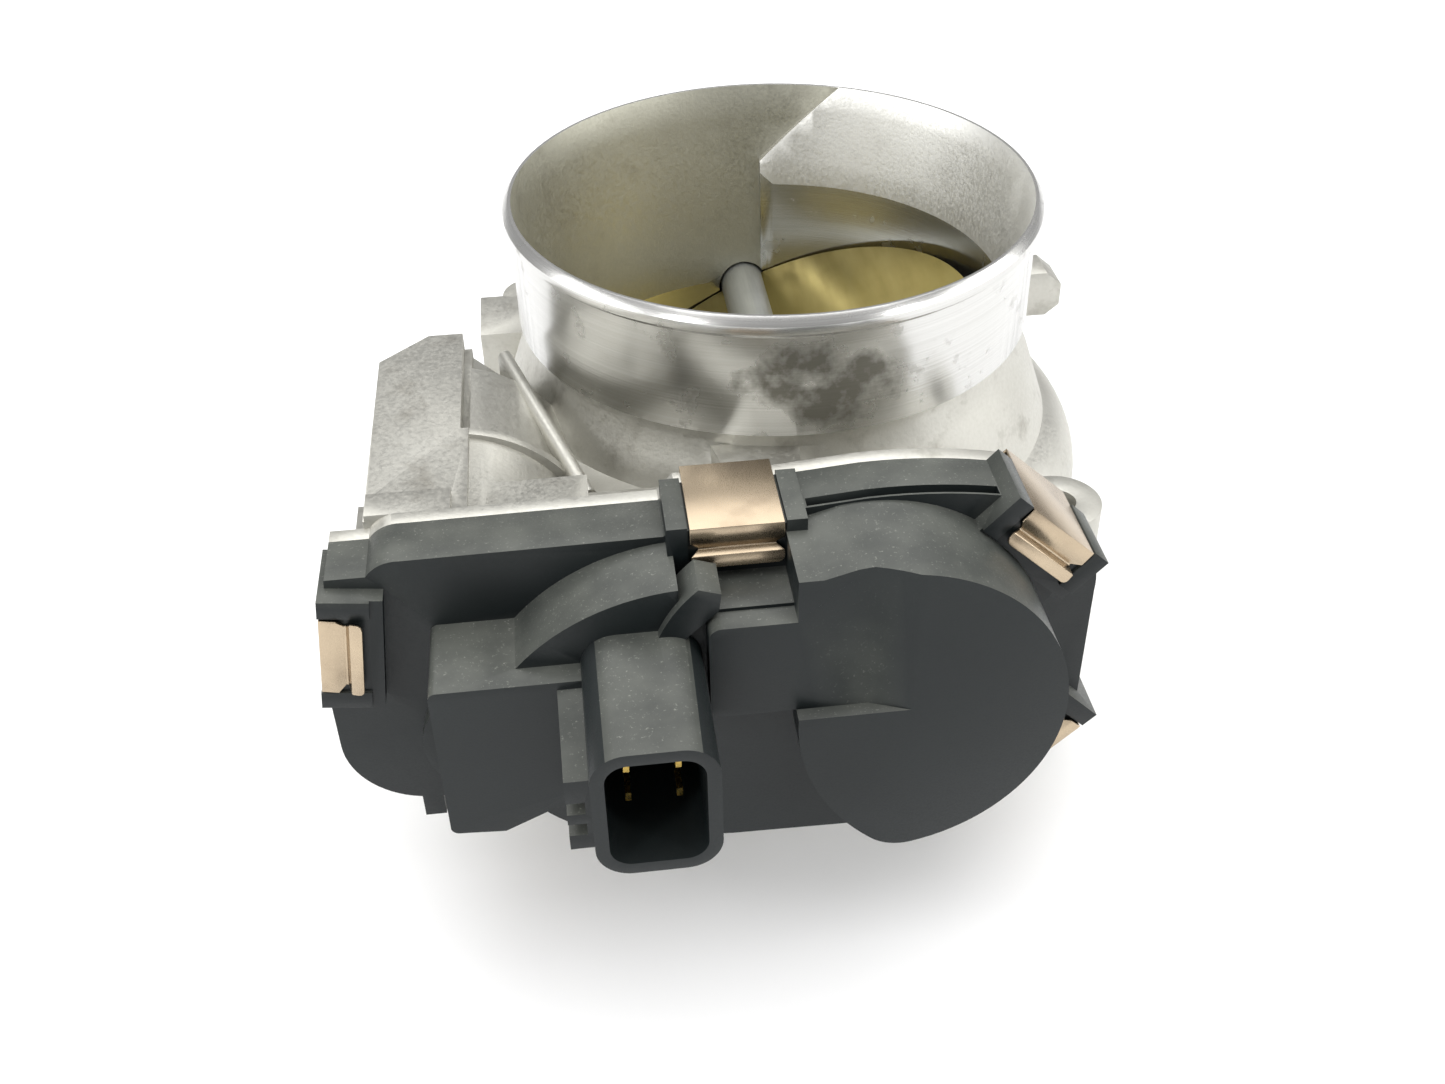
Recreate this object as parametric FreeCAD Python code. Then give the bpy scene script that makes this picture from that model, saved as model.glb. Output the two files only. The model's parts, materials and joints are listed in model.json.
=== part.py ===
import FreeCAD, Part
import math
import os

# Electronic throttle body: a cast aluminium housing with a 90 mm bore, a butterfly plate on a
# cross shaft, and a gear drive with its motor under a clipped plastic cover.
# Units are millimetres. Origin: centre of the bore at the manifold face. +Z runs along the bore
# towards the air inlet, the shaft lies along Y, and the gear cover is on the -Y side.

os.makedirs("parts", exist_ok=True)

# ---- driving dimensions ------------------------------------------------------------------
bore_r = 45.0
body_height = 100.0
shaft_z = 54.5
shaft_r = 5.0
running_gap = 0.03

collar_r = 49.9
collar_bottom = 76.4
bead_r = 51.0
bead_top = 98.5
bead_bottom = 97.0
mouth_r = 49.3
neck_r = 48.3

plate_thick = 2.4
plate_gap = 0.35
closed_tilt = 8.0
rest_tilt = 24.0

bolt_spacing_x = 94.0
bolt_spacing_y = 94.0
bolt_hole_r = 3.3
bolt_boss_r = 8.0
bolt_boss_top = 55.0
short_boss_top = 24.0
flange_thick = 12.0
flare_r = 62.5

# distances along -Y from the bore axis, for the layers of the gear case
pan_back = 57.5
pan_floor = 61.5
pan_top = 73.5
flange_back = 68.5
joint_face = 71.3
cover_plate = 81.0
hood_front = 93.0
mid_front = 97.0
drum_front = 99.5
low_front = 91.0
facet_z = 57.0
board_back, board_front = 91.4, 93.0
connector_mouth = 118.5
socket_floor = 98.0
socket_wall = 2.1
wall = 2.5

motor_x, motor_z = -58.5, 56.0
motor_r = 15.0
motor_back = 26.0
motor_front = 64.0

drum_x, drum_z, drum_r = 3.5, 55.0, 29.5
hood_x, hood_z, hood_r = -25.5, 44.0, 36.0

sector_module, sector_teeth = 1.0, 51
small_teeth = 15
wheel_module, wheel_teeth = 0.8, 53
pinion_teeth = 12
sector_back, sector_front = 74.5, 80.5
wheel_back, wheel_front = 84.0, 88.0

stop_x, stop_z = -0.75, 74.45

clip_width = 14.7
clip_thick = 0.7


# ---- plain shapes ------------------------------------------------------------------------
def vec(x, y, z):
    return FreeCAD.Vector(x, y, z)


def block(x0, x1, y0, y1, z0, z1):
    return Part.makeBox(x1 - x0, y1 - y0, z1 - z0, vec(x0, y0, z0))


def rod_z(x, y, z0, z1, r):
    return Part.makeCylinder(r, z1 - z0, vec(x, y, z0))


def rod_y(x, z, y0, y1, r):
    return Part.makeCylinder(r, y1 - y0, vec(x, y0, z), vec(0, 1, 0))


def cone_z(z0, z1, r0, r1):
    return Part.makeCone(r0, r1, z1 - z0, vec(0, 0, z0))


def tube_y(x, z, y0, y1, r_out, r_in):
    return rod_y(x, z, y0, y1, r_out).cut(rod_y(x, z, y0 - 1, y1 + 1, r_in))


def fuse(shapes):
    return shapes[0].multiFuse(shapes[1:]).removeSplitter()


def path_xz(steps, y=0.0):
    """Closed outline in the XZ plane: (x, z) is a corner, (x, z, mid_x, mid_z) ends an arc."""
    edges = []
    here = vec(steps[-1][0], y, steps[-1][1])
    for step in steps:
        there = vec(step[0], y, step[1])
        if len(step) == 4:
            edges.append(Part.Arc(here, vec(step[2], y, step[3]), there).toShape())
        else:
            edges.append(Part.LineSegment(here, there).toShape())
        here = there
    return Part.Wire(edges)


def prism(wire, y0, y1):
    """Solid between two distances y0 < y1 along Y from an outline drawn at y = 0."""
    face = Part.Face(wire)
    face.translate(vec(0, y0, 0))
    return face.extrude(vec(0, y1 - y0, 0))


def inset(wire, distance):
    return wire.makeOffset2D(-distance) if distance else wire


def ahead(wire, near, far):
    """Solid on the -Y side, between two distances from the bore axis."""
    return prism(wire, -far, -near)


def turn_about_shaft(shape, degrees):
    """Opening turn: the +X edge of the plate rises."""
    turned = shape.copy()
    turned.rotate(vec(0, 0, shaft_z), vec(0, -1, 0), degrees)
    return turned


# ---- outlines ----------------------------------------------------------------------------
def case_outline():
    return path_xz([
        (-84.0, 53.0),
        (-84.0, 43.0),
        (-70.0, 29.0, -79.9, 33.1),
        (-20.0, 25.0),
        (31.0, 23.8),
        (42.2, 35.0),
        (42.2, 62.0),
        (39.5, 72.0, 41.7, 67.4),
        (28.0, 82.6),
        (3.5, 85.0, 16.0, 84.6),
        (-9.0, 84.0),
        (-26.0, 84.0),
        (-28.6, 81.0),
        (-69.0, 80.7),
        (-74.5, 78.2, -72.5, 80.0),
        (-80.8, 78.2),
    ])


def drum_outline(shrink=0.0):
    r = drum_r - shrink
    left = -10.0 + shrink
    low_x = 5.4
    low_z = drum_z - math.sqrt(r * r - (low_x - drum_x) ** 2)
    top_x = drum_x - 0.16 * r
    top_z = drum_z + math.sqrt(r * r - (top_x - drum_x) ** 2)
    step_z = 82.7 - shrink
    return path_xz([
        (left, 59.0),
        (low_x, low_z, -5.6 + 0.8 * shrink, 38.0 + 0.6 * shrink),
        (top_x, top_z, drum_x + r, drum_z),
        (top_x - 5.0, step_z),
        (left, step_z),
    ])


def rounded_box(x0, x1, z0, z1, r):
    k = r * (1.0 - math.sqrt(0.5))
    return path_xz([
        (x0, z0 + r),
        (x0 + r, z0, x0 + k, z0 + k),
        (x1 - r, z0),
        (x1, z0 + r, x1 - k, z0 + k),
        (x1, z1 - r),
        (x1 - r, z1, x1 - k, z1 - k),
        (x0 + r, z1),
        (x0, z1 - r, x0 + k, z1 - k),
    ])


# ---- gears -------------------------------------------------------------------------------
def flank(module, teeth, r):
    """Half the angle of a tooth at radius r, for a thinned 20 degree involute."""
    pitch_r = module * teeth / 2.0
    base_r = pitch_r * math.cos(math.radians(20.0))
    half_at_pitch = (math.pi / 2.0 - 0.16) / teeth
    inv20 = math.tan(math.radians(20.0)) - math.radians(20.0)
    r = max(r, base_r)
    press = math.acos(min(1.0, base_r / r))
    return half_at_pitch + inv20 - (math.tan(press) - press)


def tooth(module, teeth, centre, angle, root_in=0.6):
    """Outline points of one tooth whose middle is at the given angle (radians)."""
    pitch_r = module * teeth / 2.0
    tip = pitch_r + 0.8 * module
    root = pitch_r - 1.15 * module
    radii = [root - root_in, root, pitch_r - 0.45 * module, pitch_r, pitch_r + 0.4 * module, tip]
    right = [(r, angle - flank(module, teeth, r)) for r in radii]
    left = [(r, angle + flank(module, teeth, r)) for r in reversed(radii)]
    return [(centre[0] + r * math.cos(a), centre[1] + r * math.sin(a)) for r, a in right + left]


def gear(module, teeth, centre, first_angle, near, far, bore, used=None):
    """Spur gear from a root disc and its teeth; used limits it to that many teeth."""
    root = module * teeth / 2.0 - 1.15 * module
    disc = rod_y(centre[0], centre[1], -far, -near, root)
    pitch = 2.0 * math.pi / teeth
    count = used if used else teeth
    solids = [disc]
    for number in range(count):
        points = tooth(module, teeth, centre, first_angle + number * pitch)
        solids.append(ahead(path_xz(points), near, far))
    whole = fuse(solids)
    if bore:
        whole = whole.cut(rod_y(centre[0], centre[1], -far - 1, -near + 1, bore))
    return whole


def gear_centres():
    """Centre of the intermediate gear, from the two centre distances."""
    first = sector_module * (sector_teeth + small_teeth) / 2.0
    second = wheel_module * (wheel_teeth + pinion_teeth) / 2.0
    dx, dz = motor_x, motor_z - shaft_z
    span = math.hypot(dx, dz)
    along = (first ** 2 - second ** 2 + span ** 2) / (2.0 * span)
    across = math.sqrt(first ** 2 - along ** 2)
    ux, uz = dx / span, dz / span
    return (along * ux - across * uz, shaft_z + along * uz + across * ux)


idler_x, idler_z = gear_centres()


def angle_between(x0, z0, x1, z1):
    return math.atan2(z1 - z0, x1 - x0)


# ---- clips and the places they hold --------------------------------------------------------
# x, z of the middle of each seat on the case outline, and the outward direction in degrees
clip_seats = [
    (-17.5, 84.0, 90.0),
    (33.75, 77.3, 47.3),
    (-82.4, 66.0, 172.8),
    (36.6, 29.4, -45.0),
    (-56.0, 27.88, -94.6),
]


def on_seat(shape, seat):
    """Move a shape drawn with its outward side along +Z at x = z = 0 onto a seat."""
    x, z, out = seat
    placed = shape.copy()
    placed.rotate(vec(0, 0, 0), vec(0, -1, 0), out - 90.0)
    placed.translate(vec(x, 0, z))
    return placed


def seat_tower():
    """Plastic block that carries a clip: two cheeks with the clip's ledge between them."""
    half = clip_width / 2.0 + 0.3
    ledge = block(-half - 3.2, half + 3.2, -84.0, -joint_face, -9.0, 0.0)
    cheek = block(half, half + 3.2, -84.6, -joint_face, -7.0, 0.9)
    other = block(-half - 3.2, -half, -84.6, -joint_face, -7.0, 0.9)
    return fuse([ledge, cheek, other])


def spring_clip():
    """Bent strip: hook behind the casting flange, long top, folded lip over the cover's ledge."""
    half = clip_width / 2.0
    rise = 0.15
    top = block(-half, half, -84.9, -67.7, rise, rise + clip_thick)
    hook = block(-half, half, -68.4, -67.7, -2.9, rise)
    lip = block(-half, half, -84.9, -84.2, -2.6, rise)
    fold = block(-half + 1.2, half - 1.2, -86.0, -84.2, -3.3, -2.6)
    tail = block(-half + 1.2, half - 1.2, -86.0, -85.3, -6.2, -3.3)
    body = fuse([top, hook, lip, fold, tail])
    outer = [e for e in body.Edges if edge_at(e, -84.9, rise + clip_thick)]
    outer += [e for e in body.Edges if edge_at(e, -67.7, rise + clip_thick)]
    return body.makeFillet(0.6, outer)


def edge_at(edge, y, z):
    a, b = edge.Vertexes[0].Point, edge.Vertexes[-1].Point
    return max(abs(a.y - y), abs(b.y - y), abs(a.z - z), abs(b.z - z)) < 0.01


# ---- housing -----------------------------------------------------------------------------
def bolt_places():
    return [(sx * bolt_spacing_x / 2.0, sy * bolt_spacing_y / 2.0) for sx in (-1, 1) for sy in (-1, 1)]


def inlet_collar():
    """Turned collar with its hose bead, as one ring of revolution about Z."""
    profile = [
        (bore_r - 6.0, collar_bottom),
        (collar_r, collar_bottom),
        (collar_r, bead_bottom - 1.1),
        (bead_r, bead_bottom),
        (bead_r, bead_top),
        (mouth_r + 0.6, body_height),
        (bore_r - 6.0, body_height),
    ]
    points = [vec(x, 0, z) for x, z in profile]
    face = Part.Face(Part.makePolygon(points + [points[0]]))
    return face.revolve(vec(0, 0, 0), vec(0, 0, 1), 360)


def bore_space():
    """Machined bore, the ramp of its +X side and the wide cone of its -X side."""
    straight = rod_z(0, 0, -1, body_height + 1, bore_r)
    ramp = cone_z(79.0, body_height, bore_r, mouth_r)
    cone = cone_z(shaft_z + 1.5, body_height, bore_r, mouth_r)
    side = path_xz([(-60.0, 40.0), (4.0, 40.0), (4.0, 84.0), (22.0, 101.0), (-60.0, 101.0)])
    cone = cone.common(prism(side, -60, 60))
    return fuse([straight, ramp, cone])


def flared_body():
    """Cast barrel below the neck, which swells towards the flange."""
    outline = [
        (bore_r - 6.0, 0.0),
        (flare_r, 0.0),
        (flare_r, 38.0),
    ]
    points = [vec(x, 0, z) for x, z in outline]
    edges = [Part.LineSegment(points[n], points[n + 1]).toShape() for n in (0, 1)]
    shoulder, throat, top = vec(55.4, 0, 54.0), vec(51.6, 0, 65.0), vec(neck_r, 0, 73.0)
    core = vec(bore_r - 6.0, 0, 73.0)
    edges.append(Part.Arc(points[2], vec(flare_r - 1.9, 0, 49.0), shoulder).toShape())
    edges.append(Part.LineSegment(shoulder, throat).toShape())
    edges.append(Part.LineSegment(throat, top).toShape())
    edges.append(Part.LineSegment(top, core).toShape())
    edges.append(Part.LineSegment(core, points[0]).toShape())
    return Part.Face(Part.Wire(edges)).revolve(vec(0, 0, 0), vec(0, 0, 1), 360)


def boss_top(x, y):
    """The column under the motor is short, so that its nut goes on below the motor tunnel."""
    return short_boss_top if x < 0 and y < 0 else bolt_boss_top


def lower_flange():
    """Mounting flange, its four bolt columns and the lugs beside them."""
    half_x, half_y = bolt_spacing_x / 2.0, bolt_spacing_y / 2.0
    corner = vec(half_x + bolt_boss_r, half_y + bolt_boss_r, 0)
    plate = block(-corner.x, corner.x, -corner.y, corner.y, 0, flange_thick)
    uprights = [e for e in plate.Edges if abs(e.Vertexes[0].Z - e.Vertexes[-1].Z) > 1.0]
    pieces = [plate.makeFillet(bolt_boss_r - 0.1, uprights), flared_body()]
    for x, y in bolt_places():
        top = boss_top(x, y)
        pieces.append(rod_z(x, y, 0, top, bolt_boss_r))
        web = block(-12.0, 0.0, -5.5, 5.5, 0, top - 3.0)
        web.rotate(vec(0, 0, 0), vec(0, 0, 1), math.degrees(math.atan2(y, x)))
        web.translate(vec(x, y, 0))
        pieces.append(web)
    ear = path_xz([(52.0, 50.5), (66.5, 50.5), (69.5, 53.0), (69.5, 58.0), (66.0, 61.0), (52.0, 61.0)])
    pieces.append(prism(ear, 28.0, 37.0))
    pieces.append(block(-60.0, -46.0, 30.0, 47.0, 43.0, bolt_boss_top))
    pieces.append(block(44.0, 56.0, 26.0, 42.0, 44.0, 58.0))
    return pieces


def flange_pockets():
    """Cored pockets that open in the manifold face, between the bolt columns."""
    ring = rod_z(0, 0, -1, 30.0, flare_r - 2.8).cut(rod_z(0, 0, -2, 31.0, bore_r + 7.0))
    cross = fuse([
        block(-27.0, 27.0, -70, 70, -1, 30.0),
        block(-70, 70, -27.0, 27.0, -1, 30.0),
    ])
    return ring.common(cross)


def motor_tunnel():
    """Cast tunnel beside the bore that holds the motor, with its flat-topped side block."""
    top = path_xz([
        (-75.5, 79.5),
        (-75.5, 42.0),
        (-69.5, 36.0),
        (-48.0, 36.0),
        (-40.4, 55.0, -43.0, 44.0),
        (-59.0, 78.2, -46.6, 70.8),
        (-59.0, 79.5),
    ])
    solid = ahead(top, 22.0, flange_back)
    rear = path_xz([
        (-75.5, 79.5),
        (-75.5, 42.0),
        (-48.0, 42.0),
        (-46.0, 62.0),
        (-59.0, 74.0),
        (-59.0, 79.5),
    ])
    tail = ahead(rear, 11.4, 24.0)
    corner_points = [vec(-80, -24, 30), vec(-80, -5, 30), vec(-60, -5, 30)]
    corner = Part.Face(Part.makePolygon(corner_points + [corner_points[0]]))
    tail = tail.cut(corner.extrude(vec(0, 0, 60)))
    raised = block(-75.2, -61.6, -flange_back, -62.6, 79.0, 80.6)
    web = path_xz([
        (-59.0, 60.0),
        (-42.0, 60.0),
        (-39.8, 63.0),
        (-59.0, 79.0, -46.0, 72.4),
    ])
    rib = ahead(web, 43.0, 45.0)
    filling = [(-52.0, -14.0), (-39.0, -52.0), (-26.0, -52.0), (-26.0, -14.0)]
    ridge = upright(vec(-53.0, -14.0, 75.4), vec(-39.4, -52.0, 69.0), 1.3, 40.0)
    return [solid, tail, raised, rib, column(filling, 40.0, 63.0), ridge]


def tunnel_groove():
    return block(-60.4, -58.9, -43.7, -10.0, 76.0, 81.0)


def column(corners, z0, z1):
    """Straight solid over a plan outline given as (x, y) corners."""
    points = [vec(x, y, z0) for x, y in corners]
    face = Part.Face(Part.makePolygon(points + [points[0]]))
    return face.extrude(vec(0, 0, z1 - z0))


def upright(start, end, half, base):
    """Standing web with a round crest that falls from one point to another."""
    run = end.sub(start)
    crest = Part.makeCylinder(half, run.Length, start, run)
    side = vec(-run.y, run.x, 0)
    side.normalize()
    side.multiply(half)
    low_start, low_end = vec(start.x, start.y, base), vec(end.x, end.y, base)
    points = [start.sub(side), end.sub(side), low_end.sub(side), low_start.sub(side)]
    face = Part.Face(Part.makePolygon(points + [points[0]]))
    side.multiply(2.0)
    return fuse([crest, face.extrude(side)])


def below_pan_top(shrink=0.0):
    """Where the deep part of the case may be: it stands higher round the motor's end plate."""
    high = block(-100, -39.5 - shrink, -100, 0, 0, pan_top + 3.8 - shrink)
    return high.fuse(block(-45.0, 100, -100, 0, 0, pan_top - shrink))


def gear_case():
    outline = case_outline()
    pan = ahead(inset(outline, 3.6), pan_back, flange_back).common(below_pan_top())
    plate = ahead(inset(outline, 3.3), flange_back - 2.6, flange_back)
    rim = ahead(outline, flange_back, joint_face)
    bridge = block(-38.0, 38.0, -pan_back - 1, -30.0, 26.0, 60.0)
    brace = column([(-17.5, -46.0), (-13.0, -flange_back), (-4.0, -flange_back), (-2.0, -47.0)], 50.0, 73.2)
    return [pan, plate, rim, bridge, brace]


def case_space():
    """Hollow of the gear case, the motor's chamber and the seal groove."""
    outline = case_outline()
    deep = ahead(inset(outline, 6.6), pan_floor, joint_face + 1).common(below_pan_top(2.0))
    hollow = ahead(inset(outline, 6.6), flange_back, joint_face + 1).fuse(deep)
    chamber = rod_y(motor_x, motor_z, -pan_floor - 1, -motor_back + 1.5, motor_r + 0.15)
    groove = ahead(inset(outline, 1.2), joint_face - 1.2, joint_face + 1)
    groove = groove.cut(ahead(inset(outline, 2.6), joint_face - 2, joint_face + 2))
    stop_hole = rod_y(stop_x, stop_z, -flange_back - 1, -66.4, 2.0)
    return [hollow, chamber, groove, stop_hole]


def shaft_bosses():
    front = rod_y(0, shaft_z, -pan_floor - 3.0, -40.0, 12.5)
    rear = rod_y(0, shaft_z, 40.0, 60.0, 12.0)
    return [front, rear]


def shaft_holes():
    hole = rod_y(0, shaft_z, -80, 70, shaft_r + 0.6)
    front = rod_y(0, shaft_z, -80, -53.0, 8.0)
    front_seal = rod_y(0, shaft_z, -54, -49.5, 7.0)
    rear = rod_y(0, shaft_z, 50.0, 70, 8.0)
    return [hole, front, front_seal, rear]


def throttle_housing():
    solids = [rod_z(0, 0, 0, collar_bottom + 1, neck_r), inlet_collar()]
    solids += lower_flange() + motor_tunnel() + gear_case() + shaft_bosses()
    body = fuse(solids)
    pin_hole = rod_y(idler_x, idler_z, -pan_floor - 3, -54.0, 2.5)
    idler_boss = rod_y(idler_x, idler_z, -pan_floor - 2.5, -pan_floor + 1, 5.0)
    spaces = [bore_space(), flange_pockets(), tunnel_groove()] + case_space()
    body = body.cut(fuse(spaces))
    keep = fuse([shaft_bosses()[0], idler_boss]).cut(rod_z(0, 0, 0, 100, neck_r))
    body = body.fuse(keep)
    drilled = shaft_holes() + [pin_hole]
    for x, y in bolt_places():
        top = boss_top(x, y)
        drilled.append(rod_z(x, y, -1, top + 1, bolt_hole_r))
        drilled.append(rod_z(x, y, top, top + 12, bolt_boss_r))
    for x, z in motor_screw_places():
        drilled.append(rod_y(x, z, -pan_floor - 1, -pan_floor + 3.5, 1.5))
    for tool in drilled:
        body = body.cut(tool)
    return body.removeSplitter()


# ---- throttle spindle group -----------------------------------------------------------------
def plate_slab():
    slab = block(-60, 60, -60, 60, shaft_z - plate_thick / 2, shaft_z + plate_thick / 2)
    slab = turn_about_shaft(slab, closed_tilt)
    disc = slab.common(rod_z(0, 0, 0, body_height, bore_r - plate_gap))
    return turn_about_shaft(disc, rest_tilt - closed_tilt)


def screw_places():
    return (-15.0, 15.0)


def plate_screw(y):
    """Pan head on the flat of the shaft and a shank through shaft and plate."""
    head = rod_z(0, y, shaft_z + shaft_r - 1.3, shaft_z + shaft_r + 0.6, 3.2)
    shank = rod_z(0, y, shaft_z - shaft_r + 0.6, shaft_z + shaft_r - 1.2, 1.6)
    slot = block(-0.45, 0.45, y - 2.4, y + 2.4, shaft_z + shaft_r - 0.1, shaft_z + shaft_r + 1)
    return turn_about_shaft(head.fuse(shank).cut(slot), rest_tilt - 180.0)


def throttle_shaft():
    main = rod_y(0, shaft_z, -73.5, 57.0, shaft_r)
    seat = rod_y(0, shaft_z, -86.0, -73.5, shaft_r - 0.6)
    shaft = main.fuse(seat)
    shaft = shaft.cut(plate_slab())
    for y in screw_places():
        shaft = shaft.cut(plate_screw(y))
        pocket = rod_z(0, y, shaft_z + shaft_r - 1.3, shaft_z + shaft_r + 3, 3.2)
        shaft = shaft.cut(turn_about_shaft(pocket, rest_tilt - 180.0))
    return shaft


def throttle_plate():
    plate = plate_slab()
    for y in screw_places():
        plate = plate.cut(plate_screw(y))
    return plate


def plate_screws():
    return Part.makeCompound([plate_screw(y) for y in screw_places()])


def sector_gear():
    """Toothed sector, hub and the stop lug, turned so that it meshes at rest."""
    centre = (0.0, shaft_z)
    mesh = angle_between(0.0, shaft_z, idler_x, idler_z)
    pitch = 2.0 * math.pi / sector_teeth
    first = mesh - 9.5 * pitch
    rim = gear(sector_module, sector_teeth, centre, first, sector_back, sector_front, 0, 14)
    reach = 40.0
    start, end = first - 0.5 * pitch, first + 13.5 * pitch
    middle = (start + end) / 2.0
    arc = [(centre[0] + reach * math.cos(a), centre[1] + reach * math.sin(a)) for a in (start, middle, end)]
    wedge = path_xz([centre, arc[0], (arc[2][0], arc[2][1], arc[1][0], arc[1][1])])
    blade = rim.common(ahead(wedge, sector_back - 1, sector_front + 1))
    hub = rod_y(0, shaft_z, -sector_front - 3.5, -sector_back + 1.0, 9.0)
    whole = fuse([blade, hub])
    window = rod_y(centre[0] + 15.5 * math.cos(middle), centre[1] + 15.5 * math.sin(middle), -90, -70, 3.6)
    whole = whole.cut(window)
    return whole.cut(rod_y(0, shaft_z, -90, -70, shaft_r - 0.6))


def sensor_magnet():
    return tube_y(0, shaft_z, -86.5, -84.0, 8.0, shaft_r - 0.6)


# ---- shaft support --------------------------------------------------------------------------
def bearing(y0, y1):
    return tube_y(0, shaft_z, y0, y1, 8.0, shaft_r + running_gap)


def shaft_seal():
    return tube_y(0, shaft_z, -52.8, -49.8, 7.0, shaft_r + running_gap)


def end_plug():
    cup = rod_y(0, shaft_z, 58.0, 59.6, 8.0)
    return cup.cut(rod_y(0, shaft_z, 58.8, 60.0, 6.6))


def return_spring():
    """Torsion spring between the casting and the sector gear, as its outer tube with both legs."""
    coil = tube_y(0, shaft_z, -73.2, -65.0, 14.0, 12.6)
    leg = rod_y(13.3, shaft_z, -65.2, -63.2, 0.7)
    return coil.fuse(leg)


# ---- intermediate gear ------------------------------------------------------------------------
def intermediate_gear():
    """The sector has a gap on the line of centres, so here a tooth lies on it."""
    centre = (idler_x, idler_z)
    to_shaft = angle_between(idler_x, idler_z, 0.0, shaft_z)
    small = gear(sector_module, small_teeth, centre, to_shaft, sector_back - 0.5, wheel_back, 0)
    to_motor = angle_between(idler_x, idler_z, motor_x, motor_z)
    wheel = gear(wheel_module, wheel_teeth, centre, to_motor, wheel_back, wheel_front, 0)
    for number in range(5):
        a = math.radians(72.0 * number + 20.0)
        x = idler_x + 14.0 * math.cos(a)
        z = idler_z + 14.0 * math.sin(a)
        wheel = wheel.cut(rod_y(x, z, -wheel_front - 1, -wheel_back + 1, 3.4))
    hub = rod_y(idler_x, idler_z, -wheel_back, -65.5, 5.6)
    whole = fuse([small, wheel, hub])
    return whole.cut(rod_y(idler_x, idler_z, -95, -60, 2.5 + running_gap))


def gear_pin():
    return rod_y(idler_x, idler_z, -90.2, -55.0, 2.5)


# ---- motor --------------------------------------------------------------------------------------
def motor_screw_places():
    reach = 19.0 * math.sqrt(0.5)
    return [(motor_x + reach, motor_z + reach), (motor_x - reach, motor_z - reach)]


def motor_can():
    outer = rod_y(motor_x, motor_z, -motor_front, -motor_back, motor_r)
    outer = outer.cut(rod_y(motor_x, motor_z, -motor_front - 1, -motor_back - 1.2, motor_r - 1.2))
    return outer.cut(rod_y(motor_x, motor_z, -30, -20, 2.6))


def motor_magnets():
    ring = tube_y(motor_x, motor_z, -58.0, -32.0, motor_r - 1.2, motor_r - 4.2)
    gap = block(motor_x - 3.0, motor_x + 3.0, -60, -30, motor_z - 20, motor_z + 20)
    return Part.makeCompound(ring.cut(gap).Solids)


def motor_armature():
    """Shaft, slotted rotor pack and commutator in one turning piece."""
    shaft = rod_y(motor_x, motor_z, -92.0, -27.4, 1.6)
    pack = rod_y(motor_x, motor_z, -56.0, -34.0, motor_r - 4.8)
    for number in range(7):
        a = math.radians(360.0 / 7.0 * number)
        r = motor_r - 6.0
        pack = pack.cut(rod_y(motor_x + r * math.cos(a), motor_z + r * math.sin(a), -57, -33, 1.5))
    commutator = rod_y(motor_x, motor_z, -61.0, -57.5, 4.0)
    return fuse([shaft, pack, commutator])


def motor_rear_bush():
    return tube_y(motor_x, motor_z, -29.6, -26.0, 2.6, 1.6 + running_gap)


def motor_end_plate():
    """Plastic plate that closes the motor and screws it to the casting."""
    plate = rod_y(motor_x, motor_z, -67.0, -motor_front, motor_r)
    for x, z in motor_screw_places():
        ear = rod_y(x, z, -67.0, -motor_front, 3.4)
        bridge = ear.fuse(rod_y((x * 2 + motor_x) / 3, (z * 2 + motor_z) / 3, -67.0, -motor_front, 4.0))
        foot = rod_y(x, z, -motor_front - 0.1, -pan_floor, 3.0)
        plate = plate.fuse(bridge).fuse(foot)
    nose = rod_y(motor_x, motor_z, -69.5, -67.0, 5.5)
    plate = plate.fuse(nose)
    plate = plate.cut(rod_y(motor_x, motor_z, -75, -60, 1.6 + 0.4))
    for x, z in motor_screw_places():
        plate = plate.cut(rod_y(x, z, -75, -50, 1.55))
    return plate.removeSplitter()


def motor_screw(x, z):
    head = rod_y(x, z, -69.0, -67.0, 2.9)
    shank = rod_y(x, z, -67.0, -59.0, 1.5)
    slot = block(x - 0.4, x + 0.4, -70, -68.1, z - 2, z + 2)
    return head.fuse(shank).cut(slot)


def motor_screws():
    return Part.makeCompound([motor_screw(x, z) for x, z in motor_screw_places()])


def motor_terminals():
    """Two contact blades from the motor's end plate forward to the cover's contacts."""
    blades = [block(motor_x + dx - 1.5, motor_x + dx + 1.5, -76.0, -67.0, motor_z - 11.4, motor_z - 10.6)
              for dx in (-5.0, 5.0)]
    return Part.makeCompound(blades)


def motor_pinion():
    to_idler = angle_between(motor_x, motor_z, idler_x, idler_z)
    half_pitch = math.pi / pinion_teeth
    return gear(wheel_module, pinion_teeth, (motor_x, motor_z), to_idler + half_pitch, 83.5, 90.5, 1.6)


# ---- cover ------------------------------------------------------------------------------------
def front_left(shrink=0.0):
    """Hood over the intermediate gear, kept clear of the upper and lower clips."""
    disc = rod_y(hood_x, hood_z, -hood_front + shrink, -joint_face, hood_r - shrink)
    side = ahead(inset(case_outline(), 0.3 + shrink), joint_face, hood_front - shrink)
    right = block(-27.5, 10.0, -100, -cover_plate + shrink, 75.6 - shrink, 100)
    low = block(-90.0, -43.5 + shrink, -100, -cover_plate + shrink, 0, 36.0 + shrink)
    far = block(2.0 - shrink, 100, -100, 0, 0, 100)
    around_wheel = rod_y(idler_x, idler_z, -hood_front + shrink, -joint_face, 24.3 - 0.7 * shrink)
    return disc.common(side).cut(right).cut(low).cut(far).fuse(around_wheel.common(side).cut(right))


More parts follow.
